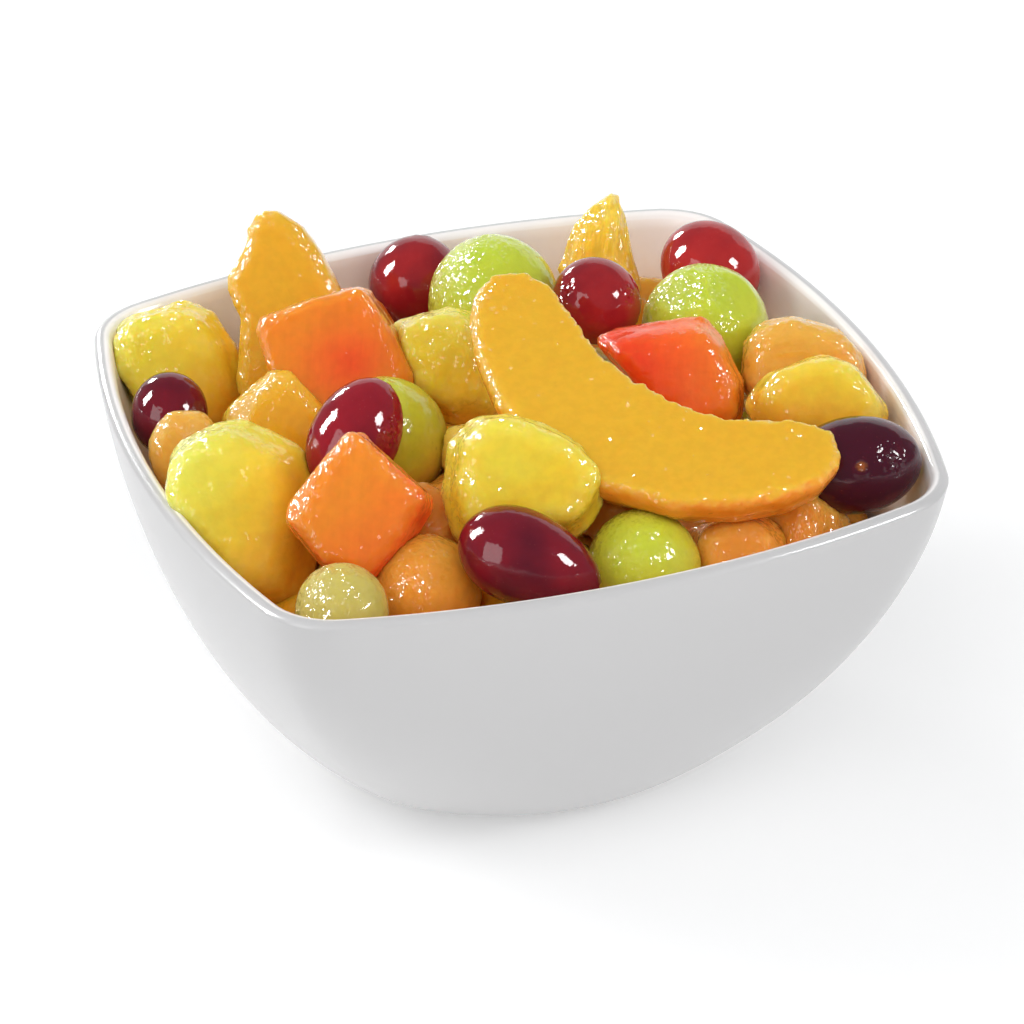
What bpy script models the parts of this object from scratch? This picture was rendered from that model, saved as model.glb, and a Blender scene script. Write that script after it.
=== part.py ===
"""Fruit salad heaped in a square white bowl.

Units are metres and +Z is up. The origin is the centre of the bowl's foot, on the
surface that the bowl stands on, and X runs along the bowl's front side.

Each piece of fruit is one closed body. The balls and grapes keep their full form, and
softer cut pieces give way where they press on a harder neighbour or on the bowl.
"""
import math

import bmesh
import bpy
from mathutils import Euler, Matrix, Vector
from mathutils.bvhtree import BVHTree

MM = 0.001

# Bowl, in millimetres: a rounded square rim on a round foot.
BOWL_HALF_WIDTH = 75.0
BOWL_HEIGHT = 71.6
WALL = 3.4
RIM_CORNER_RADIUS = 16.5
RIM_SIDE_BULGE = 13.3
FOOT_SHARE = 0.467
WALL_BEND = 1.72
HEEL_BEND = 0.70
SQUARING = 0.604
LIP_RISE = 1.4
FOOT_RING_WIDTH = 5.0
FOOT_RECESS = 1.2
SIDE_SEGMENTS = 6
CORNER_SEGMENTS = 6

# Heights of the bowl's outer and inner rings, as shares of its own height.
OUTER_LEVELS = (0.0, 0.03, 0.09, 0.18, 0.30, 0.44, 0.60, 0.78)
INNER_LEVELS = (0.78, 0.60, 0.42, 0.24, 0.08)
LIP_ANGLES = (45.0, 90.0, 135.0)

# Space that two touching pieces keep between them, in millimetres.
CLEARANCE = 0.35

# Cut pieces are drawn as seen from above the bowl's front left corner: u to the right,
# v up and w towards the viewer. These angles turn that drawing into the bowl's frame.
DRAWING_TURN = math.radians(-19.0)
DRAWING_LEAN = math.radians(60.0)

BALL_SEGMENTS = 14
BALL_RINGS = 7
EDGE_ROUNDING = 1.2
CHIP_ROUNDING = 2.0

# The mixture that fills the bowl under the pieces.
BED_EDGE_LEVEL = 0.70
BED_EDGE_GAP = 1.0
BED_CROWN = 14.0
BED_LUMP = 2.2
BED_LUMP_SPACING = 4.6
BED_LEVELS = (0.08, 0.24, 0.42, 0.60)
BED_TOP_SHARES = (0.84, 0.66, 0.48, 0.30, 0.14)

# Red, green, blue and roughness of each material.
PAINTS = {
    "white_glaze": ((0.82, 0.81, 0.80), 0.12),
    "fruit_mixture": ((0.80, 0.42, 0.06), 0.30),
    "grape_skin": ((0.16, 0.01, 0.03), 0.15),
    "green_melon": ((0.52, 0.62, 0.11), 0.25),
    "orange_melon": ((0.84, 0.36, 0.05), 0.30),
    "papaya_flesh": ((0.84, 0.19, 0.03), 0.25),
    "pineapple_flesh": ((0.82, 0.62, 0.05), 0.25),
    "mango_flesh": ((0.84, 0.60, 0.04), 0.25),
    "peach_flesh": ((0.84, 0.44, 0.03), 0.25),
}

# name, paint, centre, length, thickness, long axis, taper towards the axis end
ROUND_FRUIT = [
    ("grape_front", "grape_skin", (-16, -56, 70), 27.5, 17.5, (0.80, -0.49, -0.35), 0.16),
    ("grape_centre", "grape_skin", (-36, -15, 79), 23.5, 17.0, (0.60, 0.26, 0.76), 0.05),
    ("grape_left", "grape_skin", (-61, 26, 68), 16.5, 15.0, (0.30, 0.42, 0.86), 0.0),
    ("grape_right", "grape_skin", (52.7, -46.3, 70.4), 25.5, 18.6, (0.94, -0.30, 0.10), 0.0),
    ("grape_back_left", "grape_skin", (1.2, 59.6, 68), 20.0, 19.4, (0.30, 0.42, 0.86), 0.0),
    ("grape_back_centre", "grape_skin", (26, 21, 78), 18.0, 17.0, (0.64, -0.55, -0.54), 0.0),
    ("grape_back_right", "grape_skin", (57, 38, 71), 21.0, 19.0, (0.64, -0.55, -0.54), 0.0),
    ("melon_ball_front", "green_melon", (8, -51, 60), 23.5, 23.0, (0, 0, 1), 0.0),
    ("melon_ball_pale", "green_melon", (-51.4, -52.4, 65), 18.5, 18.5, (0, 0, 1), 0.0),
    ("melon_ball_centre", "green_melon", (-24.5, 3, 66), 26.0, 26.0, (0, 0, 1), 0.0),
    ("melon_ball_back", "green_melon", (10, 37, 73), 28.0, 28.0, (0, 0, 1), 0.0),
    ("melon_ball_right", "green_melon", (47, 16, 70), 26.5, 27.0, (0, 0, 1), 0.0),
    ("cantaloupe_ball_front", "orange_melon", (-32.4, -43.4, 60), 22.0, 22.5, (0, 0, 1), 0.0),
]

# Slices of peach: name, centre, turn, lean, thickness, then along the slice u, v, half width
SLICES = [
    ("peach_slice_long", (15, -39, 82), -10, 19, 13.0, [
        (-20, 44, 3.0), (-20, 41, 6.5), (-20, 35, 9.0), (-19, 26, 10.5), (-17, 16, 11.5),
        (-11, 6, 12.5), (-4, -1.5, 12.5), (5, -7, 11.8), (14, -9, 10.3), (22, -9, 9.3),
        (28, -8.5, 7.7), (32, -8, 5.0), (33.5, -8, 2.5)]),
]

# Cut pieces: name, paint, centre, front depth, back depth, front share, front shift,
# back share, outline
CHUNKS = [
    ("papaya_cube_front", "papaya_flesh", (-42, -36, 76), 5, 11, 0.84, (-1.0, 1.6), 0.70,
     [(-0.5, 14.3), (-14.3, -2), (-6.5, -12), (2, -15.5), (8.5, -8.5), (14.3, 0.5)]),
    ("papaya_wedge_left", "papaya_flesh", (-29, 20, 74), 4, 12, 0.90, (-0.6, -0.4), 0.70,
     [(-15, 10.5), (-5, 14), (6.5, 16.7), (11.5, 9), (16.5, -2), (12, -12), (-6, -17), (-11, -4)]),
    ("papaya_wedge_right", "papaya_flesh", (33, -4, 75), 5, 9, 0.62, (0.5, -2.0), 0.75,
     [(-17, 5.5), (-12, 7.8), (6.5, 10), (9.5, 5.7), (13.7, -4), (13.5, -12), (3, -13), (-6, -7)]),
    ("pineapple_front", "pineapple_flesh", (-12, -40, 78), 5, 12, 0.66, (0.5, 1.0), 0.80,
     [(-13, 7), (-9, 11.5), (-2.5, 12), (3.5, 10), (12, 5.7), (17.8, -1.0), (11.5, -11), (-1, -13),
      (-12, -12), (-15, -3)]),
    ("pineapple_centre", "pineapple_flesh", (-8, 16, 73), 5, 10, 0.62, (-1.0, 1.5), 0.80,
     [(-10, 8), (-5, 10), (2, 11), (9, 9), (11, 1), (11, -11), (3, -12), (-5, -8), (-9, 3)]),
    ("pineapple_left", "pineapple_flesh", (-52.6, 50.4, 65), 6, 9, 0.58, (-2.0, 1.0), 0.66,
     [(-13, 6), (-10.5, 9.7), (-2, 11.5), (2, 13), (7.5, 10.5), (12, 4.3), (12.5, -2), (8, -10),
      (-6, -12), (-13, -2)]),
    ("pineapple_right", "pineapple_flesh", (55, -23, 72), 5, 8, 0.60, (0.5, 1.0), 0.80,
     [(-15, 0), (-10, 5.5), (1, 9.2), (7.5, 7), (15, -3), (12, -8), (3, -11), (-11, -7)]),
    ("mango_left", "mango_flesh", (-60, -17, 69), 5, 13, 0.62, (-2.5, 0.5), 0.75,
     [(-12.5, 12.5), (-4, 17), (1, 17.5), (12, 11.5), (14.5, 5), (15, -8), (12, -19), (4, -18),
      (-7, -5), (-13.5, 3)]),
    ("peach_slice_tall", "peach_flesh", (-31, 45, 72), 3, 11, 0.82, (-0.8, 0.0), 0.70,
     [(-6, 21.5), (-2, 23.8), (4, 20), (7.8, 15), (11.5, 7), (12, -2), (8, -13), (0, -19),
      (-9, -14), (-9.2, -6), (-8.2, 2), (-11.3, 9.3), (-7, 16)]),
    ("peach_chunk_left", "peach_flesh", (-44, 16, 70), 3, 9, 0.70, (1.5, 0.0), 0.75,
     [(2.5, 9), (-2.5, 5), (-8.5, 0.5), (-9, -5), (0, -8), (9.5, -6.5), (9, -0.5), (6, 5)]),
    ("mandarin_slice_back", "peach_flesh", (38, 48, 73), 2.5, 7, 0.60, (-0.5, -1.0), 0.75,
     [(3, 14.8), (4.6, 9), (6.3, 0), (8.5, -8), (3, -13), (-7, -11), (-10.5, -2.5), (-6.8, 7),
      (-2, 11.5)]),
    ("cantaloupe_cube_back", "orange_melon", (58.5, -8, 72), 3, 10, 0.75, (-0.5, -0.5), 0.85,
     [(-11, 4), (-9, 7.5), (-2, 9), (7, 6), (11, 1.5), (12, -6), (9, -10), (-9, -9), (-12, -4)]),
    ("cantaloupe_chunk_right", "orange_melon", (26, -52, 57), 6, 9, 0.60, (0.0, 1.5), 0.75,
     [(-9, 6), (-3, 9), (5, 10), (10, 7), (12, 1), (6, -8), (-6, -9)]),
    ("cantaloupe_chip_left", "orange_melon", (-64, 13, 66), 3, 6, 0.60, (0.0, 0.5), 0.75,
     [(-2.5, 6), (5.5, 5.5), (7.5, -1), (3.5, -9), (-2.5, -6), (-5, 1)]),
    ("papaya_chip_back", "papaya_flesh", (-14, 48, 70), 3, 7, 0.60, (0.0, 0.5), 0.75,
     [(-6, 5), (-1, 5.5), (4, 2), (7, -3), (6, -8), (-5, -8)]),
]

# Small pieces low in the gaps: name, paint, centre, size, turns about X, Y and Z
CHIPS = [
    ("melon_chip_shaded", "green_melon", (9, -32, 60), (20, 16, 15), (12, 20, 35)),
    ("melon_chip_centre", "green_melon", (-9, -6, 62), (16, 15, 14), (30, 10, 15)),
    ("cantaloupe_chip_front", "orange_melon", (-27, -28, 63), (15, 14, 14), (20, -15, 40)),
    ("cantaloupe_chip_right", "orange_melon", (42, -47, 60), (14, 14, 13), (-15, 20, 25)),
    ("mango_chip_right", "mango_flesh", (59, -24, 57), (14, 13, 13), (10, -20, 30)),
    ("peach_chip_back", "peach_flesh", (50, 52, 55), (16, 13, 13), (25, 10, -20)),
]


def rim_radius(angle):
    """Distance of the unblended rim from the centre, along one direction."""
    eighth = math.pi / 4.0
    folded = abs((angle + eighth) % (2.0 * eighth) - eighth)
    side_radius, side_centre, corner_centre, joint_angle = RIM_ARCS
    if folded < joint_angle:
        centre, radius = Vector((side_centre, 0.0)), side_radius
    else:
        centre, radius = Vector((corner_centre, corner_centre)), RIM_CORNER_RADIUS
    along = centre.dot(Vector((math.cos(folded), math.sin(folded))))
    return along + math.sqrt(along * along - centre.length_squared + radius * radius)


def rim_arcs():
    """Side arc radius and centre, corner arc centre, and the angle where the arcs meet."""
    half, bulge = BOWL_HALF_WIDTH, RIM_SIDE_BULGE
    side_radius = (half * half + bulge * bulge) / (2.0 * bulge)
    side_centre = half - side_radius
    gap = side_radius - RIM_CORNER_RADIUS
    corner_centre = (side_centre + math.sqrt(2.0 * gap * gap - side_centre * side_centre)) / 2.0
    lean = math.atan2(corner_centre, corner_centre - side_centre)
    joint = Vector((side_centre + side_radius * math.cos(lean), side_radius * math.sin(lean)))
    return side_radius, side_centre, corner_centre, math.atan2(joint.y, joint.x)


RIM_ARCS = rim_arcs()


def rim_angles(side_segments, corner_segments):
    """Directions of the rim's points, closer together round the corners."""
    joint_angle = RIM_ARCS[3]
    quarter = [joint_angle * (2.0 * i / side_segments - 1.0) for i in range(side_segments)]
    corner_span = math.pi / 2.0 - 2.0 * joint_angle
    quarter += [joint_angle + corner_span * i / corner_segments for i in range(corner_segments)]
    return [angle + turn * math.pi / 2.0 for turn in range(4) for angle in quarter]


def wall_share(level):
    """Half width of the wall over that of the rim, at a share of the bowl's height."""
    rise = (1.0 - (1.0 - level) ** WALL_BEND) ** HEEL_BEND
    return FOOT_SHARE + (1.0 - FOOT_SHARE) * rise


def wall_normal(level):
    """Outward and upward parts of the way from the outer face into the wall."""
    step = 0.01
    low, high = max(level - step, 0.0), min(level + step, 1.0)
    run = (wall_share(high) - wall_share(low)) * BOWL_HALF_WIDTH
    rise = (high - low) * BOWL_HEIGHT
    length = math.hypot(run, rise)
    return rise / length, run / length


def bowl_ring(angles, level, inset, height):
    """Ring of points that follows the bowl's plan at one level, moved in by the inset."""
    squareness = level ** SQUARING
    share = wall_share(level)
    plan = []
    for angle in angles:
        reach = share * ((1.0 - squareness) * BOWL_HALF_WIDTH + squareness * rim_radius(angle))
        plan.append(Vector((reach * math.cos(angle), reach * math.sin(angle))))
    ring = []
    for index, point in enumerate(plan):
        along = plan[(index + 1) % len(plan)] - plan[index - 1]
        inward = Vector((-along.y, along.x)).normalized()
        moved = point + inward * inset
        ring.append((moved.x, moved.y, height))
    return ring


def inner_ring(angles, level, depth):
    """Ring inside the wall, square to it and the given depth from its outer face."""
    inward, upward = wall_normal(level)
    return bowl_ring(angles, level, depth * inward, level * BOWL_HEIGHT + depth * upward)


def skin_rings(rings):
    """Vertices and faces of a stack of equal rings, closed at both ends."""
    count = len(rings[0])
    vertices = [point for ring in rings for point in ring]
    faces = [tuple(range(count))[::-1]]
    for level in range(len(rings) - 1):
        base = level * count
        for i in range(count):
            j = (i + 1) % count
            faces.append((base + i, base + j, base + count + j, base + count + i))
    faces.append(tuple(range(len(vertices) - count, len(vertices))))
    return vertices, faces


def make_paint(name):
    """Material with the fruit's or the glaze's own colour and roughness."""
    colour, roughness = PAINTS[name]
    paint = bpy.data.materials.new(name)
    paint.use_nodes = True
    shader = paint.node_tree.nodes["Principled BSDF"]
    shader.inputs["Base Color"].default_value = (*colour, 1.0)
    shader.inputs["Roughness"].default_value = roughness
    shader.inputs["Metallic"].default_value = 0.0
    paint.diffuse_color = (*colour, 1.0)
    return paint


def add_object(name, vertices, faces, paint):
    """Object with its own mesh, from points in millimetres."""
    mesh = bpy.data.meshes.new(name)
    mesh.from_pydata([Vector(point) * MM for point in vertices], [], faces)
    mesh.materials.append(paint)
    mesh.shade_smooth()
    mesh.set_sharp_from_angle(angle=math.radians(50.0))
    piece = bpy.data.objects.new(name, mesh)
    bpy.context.scene.collection.objects.link(piece)
    return piece


def make_bowl(paint):
    """Thin walled bowl: recessed foot, outer wall, round lip, inner wall and floor."""
    angles = rim_angles(SIDE_SEGMENTS, CORNER_SEGMENTS)
    rings = [
        bowl_ring(angles, 0.0, FOOT_RING_WIDTH + FOOT_RECESS, FOOT_RECESS),
        bowl_ring(angles, 0.0, FOOT_RING_WIDTH, 0.0),
    ]
    lip_level = 1.0 - LIP_RISE / BOWL_HEIGHT
    for level in OUTER_LEVELS + (lip_level,):
        rings.append(bowl_ring(angles, level, 0.0, level * BOWL_HEIGHT))
    for around in (math.radians(degrees) for degrees in LIP_ANGLES):
        inset = WALL / 2.0 * (1.0 - math.cos(around))
        height = BOWL_HEIGHT - LIP_RISE * (1.0 - math.sin(around))
        rings.append(bowl_ring(angles, 1.0, inset, height))
    for level in (lip_level,) + INNER_LEVELS:
        rings.append(inner_ring(angles, level, WALL))
    vertices, faces = skin_rings(rings)
    return add_object("bowl", vertices, faces, paint)


def make_round_fruit(name, centre, length, thickness, axis, taper, paint):
    """Ball or grape: a ball drawn out along its axis and narrowed towards one end."""
    shape = bmesh.new()
    bmesh.ops.create_uvsphere(
        shape, u_segments=BALL_SEGMENTS, v_segments=BALL_RINGS, radius=0.5)
    turn = Vector(axis).to_track_quat("Z", "Y")
    for vertex in shape.verts:
        x, y, z = vertex.co
        girth = thickness * (1.0 - 2.0 * taper * z)
        vertex.co = turn @ Vector((x * girth, y * girth, z * length))
        vertex.co = (vertex.co + Vector(centre)) * MM
    mesh = bpy.data.meshes.new(name)
    shape.to_mesh(mesh)
    shape.free()
    mesh.materials.append(paint)
    mesh.shade_smooth()
    fruit = bpy.data.objects.new(name, mesh)
    bpy.context.scene.collection.objects.link(fruit)
    return fruit


def slice_section(half_width, thickness):
    """Outline of a peach slice across its length: flat cut face above, skin side below."""
    depth = thickness * min(1.0, half_width / 9.0)
    return [
        (half_width, 0.0),
        (half_width * 0.4, 0.0),
        (-half_width * 0.4, 0.0),
        (-half_width * 0.94, 0.0),
        (-half_width - 0.4, -0.12 * depth),
        (-half_width * 0.98, -0.35 * depth),
        (-half_width * 0.70, -0.75 * depth),
        (-half_width * 0.20, -1.00 * depth),
        (half_width * 0.45, -0.75 * depth),
        (half_width * 0.92, -0.25 * depth),
    ]


def make_slice(name, centre, turn, lean, thickness, stations, paint):
    """Crescent of peach, built from sections along its curved length."""
    rings = []
    for index, (u, v, half_width) in enumerate(stations):
        before = stations[max(index - 1, 0)]
        after = stations[min(index + 1, len(stations) - 1)]
        along = Vector((after[0] - before[0], after[1] - before[1])).normalized()
        inward = Vector((-along.y, along.x))
        ring = []
        for across, height in slice_section(half_width, thickness):
            ring.append((u + inward.x * across, v + inward.y * across, height))
        rings.append(ring)
    vertices, faces = skin_rings(rings)
    piece = add_object(name, vertices, faces, paint)
    frame = Matrix.Rotation(math.radians(turn), 4, "Z") @ Matrix.Rotation(math.radians(lean), 4, "X")
    stand(piece, centre, frame)
    return piece


def stand(piece, centre, turn):
    """Set a piece down at its centre, in millimetres, turned into the bowl's frame."""
    piece.matrix_world = Matrix.Translation(Vector(centre) * MM) @ turn


def round_edges(piece, width, segments):
    """Soften a piece's cut edges."""
    bevel = piece.modifiers.new("rounding", "BEVEL")
    bevel.width = width * MM
    bevel.segments = segments
    bevel.limit_method = "ANGLE"
    bevel.angle_limit = math.radians(35.0)


def make_chunk(name, centre, front_depth, back_depth, front_share, front_shift, back_share,
               outline, paint):
    """Cut piece: its outline, with a smaller front face before it and a back face behind."""
    area = sum(a[0] * b[1] - b[0] * a[1] for a, b in zip(outline, outline[1:] + outline[:1]))
    if area < 0.0:
        outline = outline[::-1]
    shift_u, shift_v = front_shift
    rings = [
        [(u * back_share, v * back_share, -back_depth) for u, v in outline],
        [(u, v, -0.3 * back_depth) for u, v in outline],
        [(u * front_share + shift_u, v * front_share + shift_v, front_depth) for u, v in outline],
    ]
    vertices, faces = skin_rings(rings)
    piece = add_object(name, vertices, faces, paint)
    round_edges(piece, EDGE_ROUNDING, 1)
    frame = Matrix.Rotation(DRAWING_TURN, 4, "Z") @ Matrix.Rotation(DRAWING_LEAN, 4, "X")
    stand(piece, centre, frame)
    return piece


def make_chip(name, centre, size, turns, paint):
    """Small block with rounded edges."""
    shape = bmesh.new()
    bmesh.ops.create_cube(shape, size=1.0)
    for vertex in shape.verts:
        taper = 1.0 - 0.25 * vertex.co.z
        vertex.co.x *= size[0] * taper
        vertex.co.y *= size[1] * taper
        vertex.co.z *= size[2]
    vertices = [tuple(vertex.co) for vertex in shape.verts]
    faces = [tuple(vertex.index for vertex in face.verts) for face in shape.faces]
    shape.free()
    chip = add_object(name, vertices, faces, paint)
    round_edges(chip, CHIP_ROUNDING, 1)
    stand(chip, centre, Euler([math.radians(turn) for turn in turns]).to_matrix().to_4x4())
    return chip


def bed_height(x, y):
    """Height of the mixture's uneven top, in millimetres."""
    edge = BED_EDGE_LEVEL * BOWL_HEIGHT
    reach = min(1.0, math.hypot(x, y) / BOWL_HALF_WIDTH)
    small = math.cos(x / BED_LUMP_SPACING + 1.0) * math.cos(y / BED_LUMP_SPACING)
    large = math.cos((x - y) / (1.6 * BED_LUMP_SPACING))
    return edge + BED_CROWN * (1.0 - reach ** 2) + BED_LUMP * (small + 0.6 * large)


def make_bed(paint):
    """Mixture under the pieces: it follows the bowl's inside and rises to a lumpy top."""
    angles = rim_angles(SIDE_SEGMENTS // 2, CORNER_SEGMENTS // 2)
    depth = WALL + BED_EDGE_GAP
    rings = [inner_ring(angles, level, depth) for level in BED_LEVELS]
    brim = inner_ring(angles, BED_EDGE_LEVEL, depth)
    rings.append([(x, y, bed_height(x, y) - BED_LUMP) for x, y, _ in brim])
    for share in BED_TOP_SHARES:
        ring = [(x * share, y * share) for x, y, _ in brim]
        rings.append([(x, y, bed_height(x, y)) for x, y in ring])
    vertices, faces = skin_rings(rings)
    return add_object("fruit_bed", vertices, faces, paint)


def surface_tree(piece, growth):
    """Search tree of a piece's surface in the bowl's frame, grown by a distance."""
    graph = bpy.context.evaluated_depsgraph_get()
    solid = piece.evaluated_get(graph)
    mesh = solid.to_mesh()
    turn = piece.matrix_world.to_3x3()
    points = [piece.matrix_world @ v.co + turn @ v.normal * growth for v in mesh.vertices]
    faces = [tuple(face.vertices) for face in mesh.polygons]
    solid.to_mesh_clear()
    return BVHTree.FromPolygons(points, faces)


def make_cutter(piece):
    """Hidden uncut twin of a piece, grown by the clearance that its neighbours keep."""
    cutter = piece.copy()
    cutter.name = piece.name + "_clearance"
    for cut in [modifier for modifier in cutter.modifiers if modifier.type == "BOOLEAN"]:
        cutter.modifiers.remove(cut)
    growth = cutter.modifiers.new("growth", "DISPLACE")
    growth.strength = CLEARANCE * MM
    growth.mid_level = 0.0
    cutter.hide_render = True
    cutter.display_type = "WIRE"
    bpy.context.scene.collection.objects.link(cutter)
    return cutter


def press_together(pieces):
    """Cut each piece back where it meets one that stands before it in the list."""
    for piece in pieces:
        piece.modifiers.new("facets", "TRIANGULATE")
    cutters = {}
    grown = [surface_tree(piece, CLEARANCE * MM) for piece in pieces]
    plain = [surface_tree(piece, 0.0) for piece in pieces]
    for index, piece in enumerate(pieces):
        for earlier in range(index):
            if not plain[index].overlap(grown[earlier]):
                continue
            if earlier not in cutters:
                cutters[earlier] = make_cutter(pieces[earlier])
            cut = piece.modifiers.new(pieces[earlier].name, "BOOLEAN")
            cut.operation = "DIFFERENCE"
            cut.solver = "EXACT"
            cut.object = cutters[earlier]


def clear_scene():
    """Start from an empty scene."""
    for item in list(bpy.data.objects):
        bpy.data.objects.remove(item, do_unlink=True)


def main():
    """Build every piece, the firmest first."""
    clear_scene()
    paints = {name: make_paint(name) for name in PAINTS}
    pieces = [make_bowl(paints["white_glaze"])]
    for name, paint, *shape in ROUND_FRUIT:
        pieces.append(make_round_fruit(name, *shape, paints[paint]))
    for name, *shape in SLICES:
        pieces.append(make_slice(name, *shape, paints["peach_flesh"]))
    for name, paint, *shape in CHUNKS:
        pieces.append(make_chunk(name, *shape, paints[paint]))
    pieces.append(make_bed(paints["fruit_mixture"]))
    for name, paint, *shape in CHIPS:
        pieces.append(make_chip(name, *shape, paints[paint]))
    press_together(pieces)


main()
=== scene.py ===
"""Looks of a fruit salad heaped in a square white bowl.

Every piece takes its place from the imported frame. The bowl is turned again with a fine
skin, each fruit gets wet flesh or skin over the form of its own solid, and the mixture
under them becomes cut fruit in juice.
"""
import itertools
import math

import bmesh
import bpy
import numpy as np
from mathutils import Matrix, Vector
from mathutils.bvhtree import BVHTree


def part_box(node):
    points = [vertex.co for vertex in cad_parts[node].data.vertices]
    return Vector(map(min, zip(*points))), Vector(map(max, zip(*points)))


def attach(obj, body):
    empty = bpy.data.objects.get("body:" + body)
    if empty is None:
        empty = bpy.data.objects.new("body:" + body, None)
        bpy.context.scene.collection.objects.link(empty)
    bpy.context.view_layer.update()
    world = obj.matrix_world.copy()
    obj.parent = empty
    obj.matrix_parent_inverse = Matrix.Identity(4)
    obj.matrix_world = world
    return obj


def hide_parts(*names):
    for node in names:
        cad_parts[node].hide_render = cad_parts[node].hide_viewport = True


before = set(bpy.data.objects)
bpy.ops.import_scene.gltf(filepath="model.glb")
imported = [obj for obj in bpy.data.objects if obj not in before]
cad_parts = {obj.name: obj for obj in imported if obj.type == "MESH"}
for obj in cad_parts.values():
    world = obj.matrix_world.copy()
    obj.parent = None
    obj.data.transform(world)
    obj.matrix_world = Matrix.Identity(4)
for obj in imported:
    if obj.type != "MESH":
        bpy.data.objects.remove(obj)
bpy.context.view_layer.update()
MM = 0.001

# Camera: where it stands round the bowl and what it looks at.
CAMERA_TURN = math.radians(-19.0)
CAMERA_RISE = math.radians(30.05)
CAMERA_ROLL = math.radians(-1.456)
CAMERA_DISTANCE = 0.9768
CAMERA_AIM = Vector((0.0, 0.0, 0.0467))
CAMERA_LENS = 175.3

# How much nearer than its matt lamp a light panel's glossy lamp stands.
GLOSS_LAMP_NEARER = 0.02

# Bowl, in millimetres, as the solid was designed.
WALL = 3.4
RIM_CORNER_RADIUS = 16.5
RIM_SIDE_BULGE = 13.3
FOOT_SHARE = 0.467
WALL_BEND = 1.72
HEEL_BEND = 0.70
SQUARING = 0.604
LIP_RISE = 1.4
FOOT_RING_WIDTH = 5.0
FOOT_RECESS = 1.2
FOOT_EDGE = ((1.2, 0.0), (0.5, 0.1))

# Steps of the bowl's skin, and how far in the rings of its underside lie.
BOWL_SEGMENTS = 240
WALL_STEPS = 44
LIP_STEPS = 12
RECESS_STEPS = 4
UNDERSIDE_INSETS = (26.0, 18.0, 9.0, 2.0)
FLOOR_SHARES = (0.8, 0.5, 0.2)

# Juice on the bowl's inside, partly painted warm light bounced off the fruit: how far from the
# fruit it reaches, and how strong it is.
JUICE_AND_BOUNCE_REACH = 24.0
JUICE_AND_BOUNCE_STRENGTH = 0.48

# Fineness of the skins: width of their cells, and how many rounds of smoothing show a crest.
VOXEL = 0.60 * MM
CREST_REACH = 24

# Core of the mixture: width of its cells, and how far in from the mixture's skin it lies.
CORE_VOXEL = 1.4 * MM
CORE_INSET = 1.2 * MM

# How deep the front zone is that widen spreads.
WIDENED_DEPTH = 6.5

# Chunks of the mixture: spacing, half width of their field, how far each may be off its
# grid, depth, gap, largest radius and squareness.
CHUNK_SPACING = 13.5
CHUNK_FIELD = 60.0
CHUNK_SHIFT = 2.5
CHUNK_DEPTH = 6.0
CHUNK_GAP = 0.35
CHUNK_LARGEST = 11.0
CHUNK_SQUARENESS = 9

# Directions for arranging the fruit: to the right, up and towards the guest who looks in.
RIGHT = np.array((math.cos(CAMERA_TURN), math.sin(CAMERA_TURN), 0.0))
NEAR = np.array((math.sin(CAMERA_TURN) * math.cos(CAMERA_RISE),
                 -math.cos(CAMERA_TURN) * math.cos(CAMERA_RISE), math.sin(CAMERA_RISE)))
UP = np.cross(NEAR, RIGHT)


def heading(right, up, near=0.0):
    """Unit direction from its parts to the right, up and towards the guest."""
    direction = RIGHT * right + UP * up + NEAR * near
    return direction / np.linalg.norm(direction)


# Direction of a face that mirrors the key light towards the guest.
KEY_GLINT = heading(-0.58, 0.31, 0.75)


# ---- numbers and noise


def lattice_noise(points, seed):
    """Smooth noise from -1 to 1, at points given in cells of its lattice."""
    cell = np.floor(points).astype(np.int64)
    part = points - cell
    part = part * part * (3.0 - 2.0 * part)
    total = np.zeros(len(points))
    for corner in itertools.product((0, 1), repeat=3):
        key = cell + np.array(corner)
        mixed = key[:, 0] * 73856093 ^ key[:, 1] * 19349663 ^ key[:, 2] * 83492791 ^ seed * 40503
        mixed = (mixed ^ mixed >> 13) * 1274126177
        value = (mixed ^ mixed >> 16 & 0xFFFF) & 0xFFFF
        weight = np.prod(np.where(corner, part, 1.0 - part), axis=1)
        total += (value / 32767.5 - 1.0) * weight
    return total


def layered_noise(points, size, seed, layers=3):
    """Noise from -1 to 1 with finer layers; size is the width of its largest lumps."""
    total = np.zeros(len(points))
    reach = 0.0
    for layer in range(layers):
        share = 0.5 ** layer
        total += share * lattice_noise(points * (2.0 ** layer / size), seed + 17 * layer)
        reach += share
    return total / reach


def smooth_step(values, low, high):
    """0 below low, 1 above high, and a smooth rise between them."""
    part = np.clip((values - low) / (high - low), 0.0, 1.0)
    return part * part * (3.0 - 2.0 * part)


def seed_of(name):
    """A steady number for a piece's name."""
    return sum((index + 3) * ord(letter) for index, letter in enumerate(name)) % 9973


# ---- meshes


def read_points(mesh):
    """A mesh's points as rows."""
    flat = np.empty(3 * len(mesh.vertices))
    mesh.vertices.foreach_get("co", flat)
    return flat.reshape(-1, 3)


def read_normals(mesh):
    """A mesh's point normals as rows."""
    flat = np.empty(3 * len(mesh.vertices))
    mesh.vertices.foreach_get("normal", flat)
    return flat.reshape(-1, 3)


def write_points(mesh, points):
    """Move a mesh's points."""
    mesh.vertices.foreach_set("co", points.ravel())
    mesh.update()


def write_tone(mesh, name, values):
    """Keep one number for each point, for the material to read."""
    layer = mesh.attributes.new(name, "FLOAT", "POINT")
    layer.data.foreach_set("value", values.astype(np.float32))


def show(name, mesh, look, nodes):
    """Put a finished mesh in the scene in place of its CAD nodes.

    A look is a material and the slot that it fills; the slot is not used.
    """
    material, slot = look
    mesh.materials.clear()
    mesh.materials.append(material)
    mesh.shade_smooth()
    piece = bpy.data.objects.new(name, mesh)
    bpy.context.scene.collection.objects.link(piece)
    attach(piece, "root")
    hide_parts(*nodes)


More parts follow.
